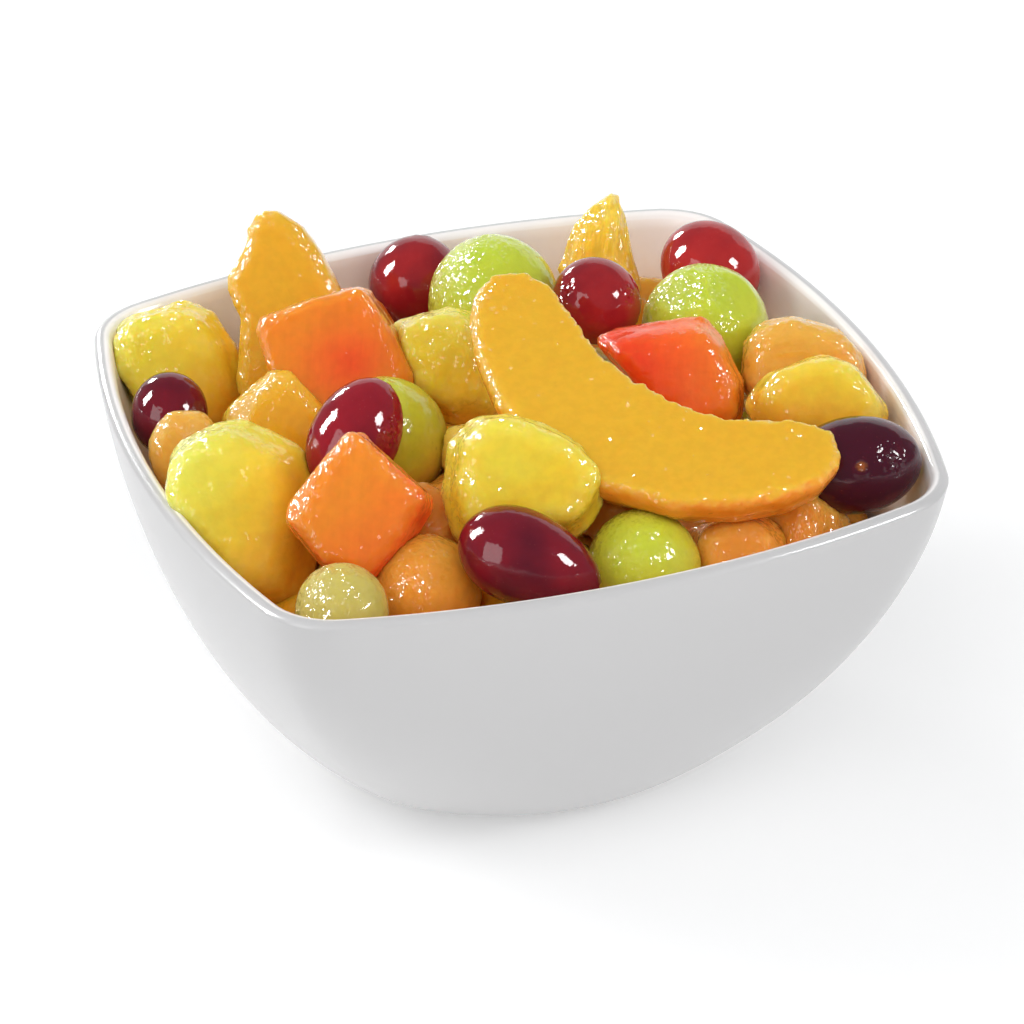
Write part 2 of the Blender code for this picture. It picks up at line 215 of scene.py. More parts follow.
def joined_solid(node):
    """A CAD node's form with its split points joined."""
    form = bmesh.new()
    form.from_mesh(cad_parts[node].data)
    bmesh.ops.remove_doubles(form, verts=form.verts, dist=0.001 * MM)
    return form


def node_points(node):
    """The points of a CAD node, each one once."""
    form = joined_solid(node)
    points = np.array([vertex.co for vertex in form.verts])
    form.free()
    return points


def fine_skin(form, voxel, softening):
    """Even, fine mesh over a form with its edges rounded off, and how far each point crests."""
    mesh = bpy.data.meshes.new("draft")
    form.to_mesh(mesh)
    form.free()
    draft = bpy.data.objects.new("draft", mesh)
    bpy.context.scene.collection.objects.link(draft)
    grid = draft.modifiers.new("grid", "REMESH")
    grid.mode = "VOXEL"
    grid.voxel_size = voxel
    soften = draft.modifiers.new("soften", "SMOOTH")
    soften.factor = 0.5
    soften.iterations = softening
    fine = evaluated_mesh(draft)
    soften.iterations = softening + CREST_REACH
    blunt = evaluated_mesh(draft)
    crest = ((read_points(fine) - read_points(blunt)) * read_normals(fine)).sum(axis=1) / MM
    bpy.data.meshes.remove(blunt)
    bpy.data.objects.remove(draft)
    return fine, crest


def evaluated_mesh(piece):
    """A piece's mesh with its modifiers applied."""
    graph = bpy.context.evaluated_depsgraph_get()
    return bpy.data.meshes.new_from_object(piece.evaluated_get(graph))


def ball_mesh(fineness):
    """Ball of radius 1 made of even triangles."""
    form = bmesh.new()
    bmesh.ops.create_icosphere(form, subdivisions=fineness, radius=1.0)
    mesh = bpy.data.meshes.new("ball")
    form.to_mesh(mesh)
    form.free()
    return mesh


# ---- materials


class Paint:
    """A material that is put together from a few kinds of node."""

    def __init__(self, name):
        self.material = bpy.data.materials.new(name)
        self.material.use_nodes = True
        self.nodes = self.material.node_tree.nodes
        self.links = self.material.node_tree.links
        self.shader = self.nodes["Principled BSDF"]
        self.place = self.nodes.new("ShaderNodeTexCoord").outputs["Object"]

    def set(self, **values):
        """Set the shader's own sockets; underscores stand for the spaces in their names."""
        for name, value in values.items():
            self.shader.inputs[name.replace("_", " ")].default_value = value

    def feed(self, socket, value):
        """Lead a number, a colour or an output into a socket."""
        if isinstance(value, bpy.types.NodeSocket):
            self.links.new(value, socket)
        elif isinstance(value, tuple):
            socket.default_value = (*value, 1.0)
        else:
            socket.default_value = value

    def tone(self, name):
        """Numbers kept on the mesh."""
        node = self.nodes.new("ShaderNodeAttribute")
        node.attribute_name = name
        return node.outputs["Fac"]

    def noise(self, size, detail=2.0, rough=0.5, place=None):
        """Noise with lumps of a size in millimetres, or of one cell of another place."""
        node = self.nodes.new("ShaderNodeTexNoise")
        node.inputs["Scale"].default_value = 1.0 if place else 1.0 / (size * MM)
        node.inputs["Detail"].default_value = detail
        node.inputs["Roughness"].default_value = rough
        self.links.new(place or self.place, node.inputs["Vector"])
        return node.outputs["Fac"]

    def fibres(self, direction, across, along, detail=2.0):
        """Noise drawn out along a direction; its widths are in millimetres."""
        node = self.nodes.new("ShaderNodeMapping")
        node.vector_type = "TEXTURE"
        node.inputs["Rotation"].default_value = Vector(direction).to_track_quat("Z", "Y").to_euler()
        node.inputs["Scale"].default_value = (across * MM, across * MM, along * MM)
        self.links.new(self.place, node.inputs["Vector"])
        return self.noise(1.0, detail, 0.55, node.outputs["Vector"])

    def voronoi(self, size, unrest):
        """Cells of a size in millimetres, with outlines that wander by a share of it."""
        noise = self.nodes.new("ShaderNodeTexNoise")
        noise.inputs["Scale"].default_value = 1.0 / (size * MM)
        self.links.new(self.place, noise.inputs["Vector"])
        wander = self.scaled(noise.outputs["Color"], unrest * size * MM)
        node = self.nodes.new("ShaderNodeTexVoronoi")
        node.inputs["Scale"].default_value = 1.0 / (size * MM)
        self.links.new(self.vector("ADD", self.place, wander), node.inputs["Vector"])
        return node.outputs

    def part_of(self, colour, channel):
        """One channel of a colour output."""
        split = self.nodes.new("ShaderNodeSeparateColor")
        self.links.new(colour, split.inputs["Color"])
        return split.outputs[channel]

    def vector(self, operation, first, second=None):
        """Sum, difference and the like of two vectors or outputs."""
        node = self.nodes.new("ShaderNodeVectorMath")
        node.operation = operation
        self.links.new(first, node.inputs[0])
        if isinstance(second, tuple):
            node.inputs[1].default_value = second
        elif second:
            self.links.new(second, node.inputs[1])
        return node.outputs["Vector"]

    def scaled(self, vector, factor):
        """A vector output times a number or an output."""
        node = self.nodes.new("ShaderNodeVectorMath")
        node.operation = "SCALE"
        self.links.new(vector, node.inputs[0])
        self.feed(node.inputs["Scale"], factor)
        return node.outputs["Vector"]

    def maths(self, operation, first, second):
        """Sum, product and the like of two values or outputs."""
        node = self.nodes.new("ShaderNodeMath")
        node.operation = operation
        self.feed(node.inputs[0], first)
        self.feed(node.inputs[1], second)
        return node.outputs["Value"]

    def span(self, value, low, high, start=0.0, end=1.0):
        """Carry a value from one range to another, held at its ends."""
        node = self.nodes.new("ShaderNodeMapRange")
        node.interpolation_type = "SMOOTHSTEP"
        numbers = {"From Min": low, "From Max": high, "To Min": start, "To Max": end}
        for name, number in numbers.items():
            node.inputs[name].default_value = number
        self.links.new(value, node.inputs["Value"])
        return node.outputs["Result"]

    def ramp(self, value, stops):
        """Colours along a value; each stop is a place and a colour."""
        node = self.nodes.new("ShaderNodeValToRGB")
        points = node.color_ramp.elements
        while len(points) < len(stops):
            points.new(1.0)
        for point, (place, colour) in zip(points, stops):
            point.position = place
            point.color = (*colour, 1.0)
        self.links.new(value, node.inputs["Fac"])
        return node.outputs["Color"]

    def blend(self, share, first, second, kind="MIX"):
        """Mix of two colours or colour outputs."""
        node = self.nodes.new("ShaderNodeMix")
        node.data_type = "RGBA"
        node.blend_type = kind
        self.feed(node.inputs[0], share)
        self.feed(node.inputs[6], first)
        self.feed(node.inputs[7], second)
        return node.outputs[2]

    def bump(self, height, depth=1.0):
        """Relief from a height, as a share of a depth in millimetres."""
        node = self.nodes.new("ShaderNodeBump")
        node.inputs["Strength"].default_value = 1.0
        node.inputs["Distance"].default_value = depth * MM
        self.links.new(height, node.inputs["Height"])
        return node.outputs["Normal"]

    def join(self, output, name):
        """Lead an output into one of the shader's sockets."""
        self.links.new(output, self.shader.inputs[name])


def glints(paint, normal, size, gain, share=1.0, reach=2.0):
    """Normal that leans its own way in each cell of a size, so that some cells catch a light.

    share is the share of cells that lean, and reach how far from its middle a cell leans.
    """
    cell = paint.voronoi(size, 0.5)
    lean = paint.vector("SUBTRACT", cell["Color"], (0.5, 0.5, 0.5))
    chosen = paint.maths("LESS_THAN", paint.part_of(cell["Color"], "Green"), share)
    near = paint.maths("LESS_THAN", cell["Distance"], reach)
    strength = paint.maths("MULTIPLY", paint.maths("MULTIPLY", chosen, near), gain)
    return paint.vector("NORMALIZE", paint.vector("ADD", normal, paint.scaled(lean, strength)))


def wet(paint, ripple=0.75, grain=1.4, facet=0.8, lean=0.85, dots=0.45):
    """Film of juice: glossy, rippled where it is wet, and broken into small faces that glint."""
    paint.set(Coat_Weight=1.0, Coat_Roughness=0.05, Coat_IOR=1.5)
    waves = paint.maths("MULTIPLY", paint.noise(grain, 1.0), paint.tone("wet"))
    film = paint.bump(paint.maths("MULTIPLY", waves, ripple))
    broken = paint.span(paint.tone("wet"), 0.15, 0.75, 0.0, lean)
    film = glints(paint, film, facet, broken)
    paint.join(glints(paint, film, 1.7, 1.5, dots, 0.2), "Coat Normal")


def flesh(name, slot, stops, pale, cloud=0.3, streak=None, radius=(1.0, 0.55, 0.25), film=None):
    """Wet cut fruit: colours along its tone, paler crests, light let in under the surface."""
    paint = Paint(name)
    drift = paint.maths("MULTIPLY", paint.maths("SUBTRACT", paint.noise(6.0), 0.5), cloud)
    colour = paint.ramp(paint.maths("ADD", paint.tone("tone"), drift), stops)
    colour = mottled(paint, colour, paint.noise(1.8), 0.03)
    if streak:
        direction, across, along, strength = streak
        colour = mottled(paint, colour, paint.fibres(direction, across, along), strength)
    broken = paint.span(paint.noise(2.2, 3.0), 0.35, 0.65, 0.3, 1.0)
    crest = paint.maths("MULTIPLY", paint.tone("crest"), broken)
    paint.join(paint.blend(crest, colour, pale), "Base Color")
    paint.set(Roughness=0.42, Subsurface_Weight=0.8, Subsurface_Scale=6.0 * MM,
              Subsurface_Radius=radius, Specular_IOR_Level=0.04)
    paint.join(paint.bump(paint.noise(1.1), 0.06), "Normal")
    wet(paint, **(film or {}))
    return paint.material, slot


def mottled(paint, colour, noise, strength):
    """A colour made lighter and darker by a noise."""
    shade = paint.span(noise, 0.30, 0.70, 1.0 - strength, 1.0 + strength)
    return paint.blend(1.0, colour, shade, "MULTIPLY")


def green_melon_flesh():
    """Lime green melon, golden where it lies in shade, with a fine wet grain."""
    stops = [(0.0, (0.88, 0.51, 0.065)), (0.35, (0.62, 0.58, 0.05)), (1.0, (0.48, 0.63, 0.040))]
    film = {"ripple": 0.2, "grain": 0.9, "facet": 0.55, "lean": 0.75}
    return flesh("green_melon_fine", "green_melon", stops, (0.66, 0.76, 0.20),
                 radius=(0.8, 1.0, 0.2), film=film)


def pale_melon_flesh():
    """Pale green melon."""
    stops = [(0.0, (0.52, 0.40, 0.09)), (1.0, (0.59, 0.50, 0.13))]
    return flesh("pale_melon_fine", "green_melon", stops, (0.85, 0.80, 0.40),
                 radius=(0.9, 1.0, 0.3))


def orange_melon_flesh():
    """Orange melon, painted paler towards the top where the light falls."""
    stops = [(0.0, (0.66, 0.20, 0.02)), (0.5, (0.82, 0.32, 0.035)), (1.0, (0.77, 0.42, 0.06))]
    return flesh("orange_melon_fine", "orange_melon", stops, (0.95, 0.60, 0.20))


def papaya_flesh():
    """Papaya, red where its tone is low and orange where it is high."""
    stops = [(0.0, (0.84, 0.065, 0.012)), (0.5, (0.88, 0.16, 0.018)), (1.0, (0.82, 0.27, 0.018))]
    return flesh("papaya_fine", "papaya_flesh", stops, (0.90, 0.28, 0.02),
                 streak=(heading(0.1, 1.0), 1.6, 14.0, 0.03), film={"lean": 0.5, "ripple": 0.6})


def pineapple_flesh():
    """Cloudy yellow pineapple, painted orange in shade at its low tone."""
    stops = [(0.0, (0.80, 0.36, 0.02)), (0.5, (0.84, 0.60, 0.035)), (1.0, (0.79, 0.67, 0.060))]
    return flesh("pineapple_fine", "pineapple_flesh", stops, (0.92, 0.84, 0.35), cloud=0.6,
                 film={"ripple": 0.6, "grain": 1.6})


def mango_flesh():
    """Mango, from orange to lemon yellow."""
    stops = [(0.0, (0.80, 0.35, 0.02)), (0.5, (0.86, 0.60, 0.035)), (1.0, (0.74, 0.71, 0.085))]
    return flesh("mango_fine", "mango_flesh", stops, (0.92, 0.82, 0.25))


def peach_flesh():
    """Golden peach with a darker orange skin side that is partly painted shade on sides turned from
    the light, and stray drops on its faces.
    """
    stops = [(0.0, (0.88, 0.27, 0.015)), (0.5, (0.86, 0.38, 0.018)), (1.0, (0.79, 0.44, 0.020))]
    return flesh("peach_fine", "peach_flesh", stops, (0.93, 0.62, 0.16), cloud=0.15,
                 film={"dots": 0.8})


def mandarin_flesh():
    """Streaky golden mandarin."""
    stops = [(0.0, (0.88, 0.34, 0.015)), (1.0, (0.85, 0.58, 0.045))]
    film = {"ripple": 0.8, "grain": 1.8, "facet": 0.9, "lean": 0.8}
    return flesh("mandarin_fine", "peach_flesh", stops, (0.98, 0.85, 0.40),
                 streak=(heading(0.15, 1.0), 0.9, 7.0, 0.12), film=film)


def grape_skin(name, dark, light):
    """Dark glossy skin with a lighter red flush, faint streaks and specks, and a few drops."""
    paint = Paint(name)
    drift = paint.maths("MULTIPLY", paint.noise(8.0, 3.0), 0.4)
    skin = paint.ramp(paint.maths("ADD", paint.tone("tone"), drift), [(0.30, dark), (0.95, light)])
    cell = paint.voronoi(0.9, 0.3)
    pale = paint.maths("LESS_THAN", paint.part_of(cell["Color"], "Red"), 0.35)
    specks = paint.maths("MULTIPLY", pale, paint.span(cell["Distance"], 0.08, 0.2, 0.10, 0.0))
    speckled = paint.blend(specks, skin, (0.50, 0.12, 0.10))
    scar = paint.blend(paint.tone("scar"), speckled, (0.30, 0.085, 0.02))
    paint.join(scar, "Base Color")
    paint.set(Roughness=0.07, Subsurface_Weight=0.3, Subsurface_Scale=2.0 * MM,
              Subsurface_Radius=(1.0, 0.15, 0.1), IOR=1.45)
    waves = paint.bump(paint.noise(2.4), 0.11)
    drops = paint.maths("MULTIPLY", paint.tone("wet"), 1.1)
    paint.join(glints(paint, waves, 0.55, drops, 0.7), "Normal")
    return paint.material, "grape_skin"


def glaze():
    """White glaze with faint waves, painted grey shade outside and painted light inside,
    and a film of juice near the fruit that is partly painted warm bounce light.
    """
    paint = Paint("white_glaze_fine")
    # Painted shade and light: the outside gets a grey shade of the white glaze, the inside a nearly
    # white one.
    outer, inner, juice = (0.55, 0.545, 0.545), (0.96, 0.94, 0.92), (0.86, 0.66, 0.50)
    patchy = paint.span(paint.noise(9.0, 3.0), 0.35, 0.65, 0.4, 1.0)
    # The juice film near the fruit is partly painted warm light bounced off the fruit.
    film = paint.maths("MULTIPLY", paint.tone("juice"), patchy)
    lit_inside_shaded_outside = paint.blend(paint.tone("inside"), outer, inner)
    paint.join(paint.blend(film, lit_inside_shaded_outside, juice), "Base Color")
    paint.set(Roughness=0.30, Specular_IOR_Level=0.2)
    paint.set(Coat_Weight=0.5, Coat_Roughness=0.05, Coat_IOR=1.5)
    paint.join(paint.bump(paint.noise(14.0, 1.0), 0.05), "Coat Normal")
    return paint.material, "white_glaze"


# ---- bowl


class BowlForm:
    """The bowl's plan and profile, in millimetres, scaled to the frame's box."""

    def __init__(self):
        low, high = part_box("bowl")
        self.half = (high[0] - low[0]) / 2.0 / MM
        self.height = (high[2] - low[2]) / MM
        bulge = RIM_SIDE_BULGE
        self.side_radius = (self.half ** 2 + bulge ** 2) / (2.0 * bulge)
        self.side_centre = self.half - self.side_radius
        gap = self.side_radius - RIM_CORNER_RADIUS
        self.corner = (self.side_centre + math.sqrt(2.0 * gap * gap - self.side_centre ** 2)) / 2.0
        lean = math.atan2(self.corner, self.corner - self.side_centre)
        along = self.side_centre + self.side_radius * math.cos(lean)
        self.joint = math.atan2(self.side_radius * math.sin(lean), along)

    def rim(self, angle):
        """Distance of the square rim from the middle, along one direction."""
        eighth = math.pi / 4.0
        folded = abs((angle + eighth) % (2.0 * eighth) - eighth)
        if folded < self.joint:
            centre, radius = Vector((self.side_centre, 0.0)), self.side_radius
        else:
            centre, radius = Vector((self.corner, self.corner)), RIM_CORNER_RADIUS
        along = centre.dot(Vector((math.cos(folded), math.sin(folded))))
        return along + math.sqrt(along * along - centre.length_squared + radius * radius)

    def share(self, level):
        """Half width of the wall over that of the rim, at a share of the height."""
        rise = (1.0 - (1.0 - level) ** WALL_BEND) ** HEEL_BEND
        return FOOT_SHARE + (1.0 - FOOT_SHARE) * rise

    def normal(self, level):
        """Outward and upward parts of the way from the outer face into the wall."""
        low, high = max(level - 0.01, 0.0), min(level + 0.01, 1.0)
        run = (self.share(high) - self.share(low)) * self.half
        rise = (high - low) * self.height
        length = math.hypot(run, rise)
        return rise / length, run / length

    def ring(self, angles, level, inset, height):
        """Ring of points that follows the plan at one level, moved in by the inset."""
        squareness = level ** SQUARING
        reach = self.share(level)
        plan = []
        for angle in angles:
            radius = reach * ((1.0 - squareness) * self.half + squareness * self.rim(angle))
            plan.append(Vector((radius * math.cos(angle), radius * math.sin(angle))))
        ring = []
        for index, point in enumerate(plan):
            along = plan[(index + 1) % len(plan)] - plan[index - 1]
            moved = point + Vector((-along.y, along.x)).normalized() * inset
            ring.append((moved.x, moved.y, height))
        return ring

    def inner(self, angles, level, depth):
        """Ring inside the wall, square to it and a depth from its outer face."""
        inward, upward = self.normal(level)
        return self.ring(angles, level, depth * inward, level * self.height + depth * upward)


def bowl_rings(form, angles):
    """Rings from the middle of the foot round the lip to the middle of the inside.

    The second value returned is how many of them come before the inside wall.
    """
    recess = FOOT_RING_WIDTH + FOOT_RECESS
    rings = [form.ring(angles, 0.0, recess + inset, FOOT_RECESS) for inset in UNDERSIDE_INSETS]
    for step in range(RECESS_STEPS + 1):
        drop = FOOT_RECESS * math.sin(step * math.pi / 2.0 / RECESS_STEPS)
        inset = recess - FOOT_RECESS * step / RECESS_STEPS
        rings.append(form.ring(angles, 0.0, inset, FOOT_RECESS - drop))
    rings += [form.ring(angles, 0.0, inset, height) for inset, height in FOOT_EDGE]
    lip_level = 1.0 - LIP_RISE / form.height
    levels = [(step / WALL_STEPS) ** 1.5 * lip_level for step in range(1, WALL_STEPS + 1)]
    rings += [form.ring(angles, level, 0.0, level * form.height) for level in levels]
    for step in range(1, LIP_STEPS):
        around = step * math.pi / LIP_STEPS
        inset = WALL / 2.0 * (1.0 - math.cos(around))
        height = form.height - LIP_RISE * (1.0 - math.sin(around))
        rings.append(form.ring(angles, 1.0, inset, height))
    before_inside = len(rings)
    rings += [form.inner(angles, level, WALL) for level in levels[::-1]]
    floor = form.inner(angles, levels[0], WALL)
    for share in FLOOR_SHARES:
        rings.append([(x * share, y * share, z) for x, y, z in floor])
    return rings, before_inside


def make_bowl(fruit_tree):
    """Fine skin of the bowl, with the reach of the juice and its painted bounce light on its
    inside.
    """
    count = BOWL_SEGMENTS
    angles = [2.0 * math.pi * index / count for index in range(count)]
    rings, before_inside = bowl_rings(BowlForm(), angles)
    points = [Vector(point) * MM for ring in rings for point in ring]
    faces = [tuple(range(count))[::-1]]
    for level in range(len(rings) - 1):
        base = level * count
        for i in range(count):
            j = (i + 1) % count
            faces.append((base + i, base + j, base + count + j, base + count + i))
    faces.append(tuple(range(len(points) - count, len(points))))
    mesh = bpy.data.meshes.new("bowl_fine")
    mesh.from_pydata(points, [], faces)
    lip_top = before_inside - LIP_STEPS // 2 + 1
    # The inside mask picks the nearly white, painted light colour of the glaze; the rest keeps its
    # painted grey shade.
    write_tone(mesh, "inside", np.arange(len(points)) >= lip_top * count)
    write_tone(mesh, "juice", juice_and_bounce_light_on_wall(points, before_inside * count, fruit_tree))
    show("bowl_fine", mesh, glaze(), ["bowl"])


def juice_and_bounce_light_on_wall(points, first_inside, fruit_tree):
    """How much juice, with painted warm light bounced off the fruit, each point of the bowl gets:
    only inside, close to the fruit.
    """
    film = np.zeros(len(points))
    for index in range(first_inside, len(points)):
        distance = fruit_tree.find_nearest(points[index])[3] / MM
        film[index] = max(0.0, 1.0 - distance / JUICE_AND_BOUNCE_REACH) ** 1.5
    return JUICE_AND_BOUNCE_STRENGTH * film


# ---- round fruit


def long_form(points):
    """Centre, axes, length, thickness and taper of a grape, from the points of its solid."""
    middle = points.mean(axis=0)
    _, _, axes = np.linalg.svd(points - middle)
    axis = axes[0]
    along = (points - middle) @ axis
    length = along.max() - along.min()
    centre = middle + axis * (along.max() + along.min()) / 2.0
    along = (points - centre) @ axis * 2.0 / length
    across = np.linalg.norm(points - centre - np.outer(along * length / 2.0, axis), axis=1)
    ring = np.abs(along) < 0.9
    girth = across[ring] / np.sqrt(1.0 - along[ring] ** 2)
    slope, half = np.polyfit(along[ring], girth, 1)
    return centre, axes, length / 2.0, half, slope / half


def make_grape(node, look, scar_side=None, flush=0.30, damp=(), fineness=5):
    """Grape with a slightly uneven skin, a small stem scar and drops on its damp sides."""
    centre, axes, half_length, half_girth, taper = long_form(node_points(node))
    mesh = ball_mesh(fineness)
    ball = read_points(mesh)
    girth = half_girth * (1.0 + taper * ball[:, 2])
    points = centre + np.outer(ball[:, 2] * half_length, axes[0])
    points += (ball[:, 0] * girth)[:, None] * axes[1] + (ball[:, 1] * girth)[:, None] * axes[2]
    normals = points - centre
    normals /= np.linalg.norm(normals, axis=1)[:, None]
    seed = seed_of(node)
    points += normals * (layered_noise(points, 7.0 * MM, seed) * 0.14 * MM)[:, None]
    toward = scar_side if scar_side is not None else -axes[0]
    middle = points[np.argmax(normals @ toward)]
    away = np.linalg.norm(points - middle, axis=1) / MM
    away += 0.2 * layered_noise(points, 1.0 * MM, seed + 5)
    hollow = 0.30 * smooth_step(away, 1.3, 0.9)
    raised_rim = 0.14 * np.exp(-((away - 1.5) / 0.4) ** 2)
    stub = 0.25 * smooth_step(away, 0.7, 0.2)
    dent = hollow - raised_rim - stub
    points -= normals * (dent * MM)[:, None]
    write_points(mesh, points)
    scar = smooth_step(away, 1.1, 0.7)
    write_tone(mesh, "scar", scar)
    write_tone(mesh, "tone", flush + 0.25 * layered_noise(points, 9.0 * MM, seed + 9))
    wetness = 0.9 * scar
    for side, narrow in damp:
        wetness += smooth_step(normals @ side, narrow, 1.0)
    write_tone(mesh, "wet", wetness)
    show(node + "_fruit", mesh, look, [node])


def make_ball(node, look, flats=(), shade=0.0, damp=0.75):
    """Scooped ball: grainy, slightly uneven, with the flats that the scoop leaves."""
    low, high = (np.array(corner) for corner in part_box(node))
    centre = (low + high) / 2.0
    half = (high - low) / 2.0
    half[1] = half[0]
    mesh = ball_mesh(6)
    ball = read_points(mesh)
    outward = ball.copy()
    for toward, share in flats:
        over = np.clip(ball @ toward - share, 0.0, None)
        ball = ball - np.outer(over * 0.85, toward)
    seed = seed_of(node)
    points = centre + ball * half
    lumps = 0.22 * layered_noise(points, 9.0 * MM, seed)
    lumps += 0.10 * layered_noise(points, 2.4 * MM, seed + 3)
    pits = -0.10 * smooth_step(lattice_noise(points / (1.2 * MM), seed + 7), 0.2, 0.8)
    points = points + outward * ((lumps + pits - 0.15) * MM)[:, None]
    write_points(mesh, points)
    # Tone rises with height: painted light makes the tops paler and painted shade darkens the lower
    # part, and shade lowers it further for balls that lie in shade.
    height = (points[:, 2] - low[2]) / (high[2] - low[2])
    cloud = 0.1 * layered_noise(points, 6.0 * MM, seed + 11)
    write_tone(mesh, "tone", 0.15 + 0.7 * height - shade + cloud)
    patches = layered_noise(points, 6.0 * MM, seed + 13)
    splash = smooth_step(outward @ heading(-0.75, 0.35, 0.55) + 0.3 * patches, 0.15, 0.60)
    write_tone(mesh, "wet", np.clip(0.25 + 0.2 * patches + damp * splash, 0.0, 1.0))
    write_tone(mesh, "crest", 0.3 * smooth_step(lumps, 0.05, 0.30))
    show(node + "_fruit", mesh, look, [node])


# ---- cut fruit


def make_cut(node, look, relief, tone, softening=8, swell=0.2, ragged=0.35, widen=0.06,
             knives=(), pulls=(), damp=(0.25, 0.9, 0.5), splashed=()):
    """Cut piece: a fine skin over its solid, with the relief of its kind of fruit.

    widen brings its front face out towards its outline, knives are flat cuts (a direction
    and a depth), pulls draw one side out, damp is how wet its faces, crests and patches
    are, and splashed are the sides that are wet as a whole.
    """
    mesh, crest = fine_skin(joined_solid(node), VOXEL, softening)
    points = read_points(mesh)
    normals = read_normals(mesh)
    seed = seed_of(node)
    points = widen_front(points, widen)
    edge = smooth_step(crest, 0.01, 0.26)
    height = relief(points, seed) + swell
    height += ragged * edge * layered_noise(points, 1.9 * MM, seed + 21)
    points = points + normals * (height * MM)[:, None]
    for direction, depth in knives:
        points = slice_off(points, direction, depth)
    for direction, length, start in pulls:
        points = pull_out(points, direction, length, start)
    write_points(mesh, points)
    places = (points - points.mean(axis=0)) / MM
    write_tone(mesh, "tone", tone(places, read_normals(mesh)))
    write_tone(mesh, "crest", 0.22 * edge)
    base, at_crest, patchy = damp
    patches = smooth_step(layered_noise(points, 6.0 * MM, seed + 31), 0.0, 0.45)
    wetness = base + at_crest * edge + patchy * patches
    for direction, start in splashed:
        along = places @ direction
        share = (along - along.min()) / np.ptp(along)
        share += 0.12 * layered_noise(points, 3.0 * MM, seed + 41)
        wetness += smooth_step(share, start, start + 0.15)
    write_tone(mesh, "wet", np.clip(wetness, 0.0, 1.0))
    show(node + "_fruit", mesh, look, [node])


def widen_front(points, growth):
    """Spread a piece's front zone sideways, most at its front face."""
    along = points @ NEAR
    share = smooth_step(along, along.max() - WIDENED_DEPTH * MM, along.max() - 0.5 * MM)
    offset = points - points.mean(axis=0)
    sideways = offset - np.outer(offset @ NEAR, NEAR)
    return points + sideways * (growth * share)[:, None]


def slice_off(points, direction, depth):
    """Press what stands beyond a plane back onto it; depth is how much the cut takes off."""
    along = points @ direction
    over = np.clip(along - (along.max() - depth * MM), 0.0, None)
    return points - np.outer(0.94 * over, direction)


def pull_out(points, direction, length, start):
    """Draw the side that lies along a direction further out."""
    along = (points @ direction - (points @ direction).min()) / np.ptp(points @ direction)
    return points + np.outer(smooth_step(along, start, 1.0) * length * MM, direction)


def lumpy(large, fine=0.06):
    """Soft hollows and lumps with a fine unevenness."""
    def relief(points, seed):
        lumps = large * layered_noise(points, 7.0 * MM, seed, 2)
        return lumps + fine * layered_noise(points, 1.6 * MM, seed + 1)
    return relief


def along_fibres(points, direction, across, along):
    """Points squeezed so that noise runs in streaks along a direction."""
    length = points @ direction
    side = points - np.outer(length, direction)
    return side / (across * MM) + np.outer(length / (along * MM), direction)


def fibrous(direction, lumps=0.7, grooves=0.25, across=1.6, along=8.0, size=5.5):
    """Knobbly lumps with fine grains and grooves that run along a direction."""
    def relief(points, seed):
        streaks = lattice_noise(along_fibres(points, direction, across, along), seed)
        knobs = layered_noise(points, size * MM, seed + 2, 2)
        swelling = layered_noise(points, 1.7 * size * MM, seed + 3, 1)
        grains = layered_noise(points, 2.2 * MM, seed + 4, 2)
        return lumps * (knobs + 0.6 * swelling) + grooves * streaks + 0.14 * grains
    return relief


def even_tone(value, spread=0.2):
    """Nearly the same tone all over."""
    def tone(places, normals):
        return value + spread * layered_noise(places, 9.0, 71, 2)
    return tone


def slope_tone(direction, middle=0.5, reach=12.0):
    """Tone that rises from one side of the piece to the other: painted light on the side it rises
    towards, mostly the top, and painted shade on the other.
    """
    def tone(places, normals):
        return middle + places @ direction / (2.0 * reach)
    return tone


def heart_tone(right, up, inner, outer):
    """0 at a given middle of the piece, as seen from the front, and 1 towards its edges."""
    def tone(places, normals):
        offset = places - RIGHT * right - UP * up
        flat = offset - np.outer(offset @ NEAR, NEAR)
        return smooth_step(np.linalg.norm(flat, axis=1), inner, outer)
    return tone


def facing_shade_tone(direction, low=0.2, high=0.8):
    """1 on faces turned towards a direction and 0 on those turned away: painted shade on the sides
    turned from it, which on a peach slice also marks its darker skin side.
    """
    def tone(places, normals):
        return smooth_step(normals @ direction, low, high)
    return tone


def mixed_tone(*tones):
    """Mean of several tones."""
    def tone(places, normals):
        return sum(part(places, normals) for part in tones) / len(tones)
    return tone


# ---- mixture under the pieces


def make_mixture(kinds):
    """Chunks of cut fruit packed under the top pieces, over a smaller core in juice."""
    bed = joined_solid("fruit_bed")
    tree = BVHTree.FromBMesh(bed)
    bed.free()
    centres = chunk_centres(tree)
    ball = ball_mesh(4)
    directions = read_points(ball)
    chunks = {kind: [] for kind in kinds}
    names = sorted(kinds)
    for index in range(len(centres)):
        kind = names[(index * 7 + index // 5 * 3) % len(names)]
        chunks[kind].append(packed_chunk(index, centres, tree, directions))
    faces = np.array([tuple(face.vertices) for face in ball.polygons])
    for kind, look in kinds.items():
        make_chunks("mixture_" + kind, chunks[kind], faces, look)


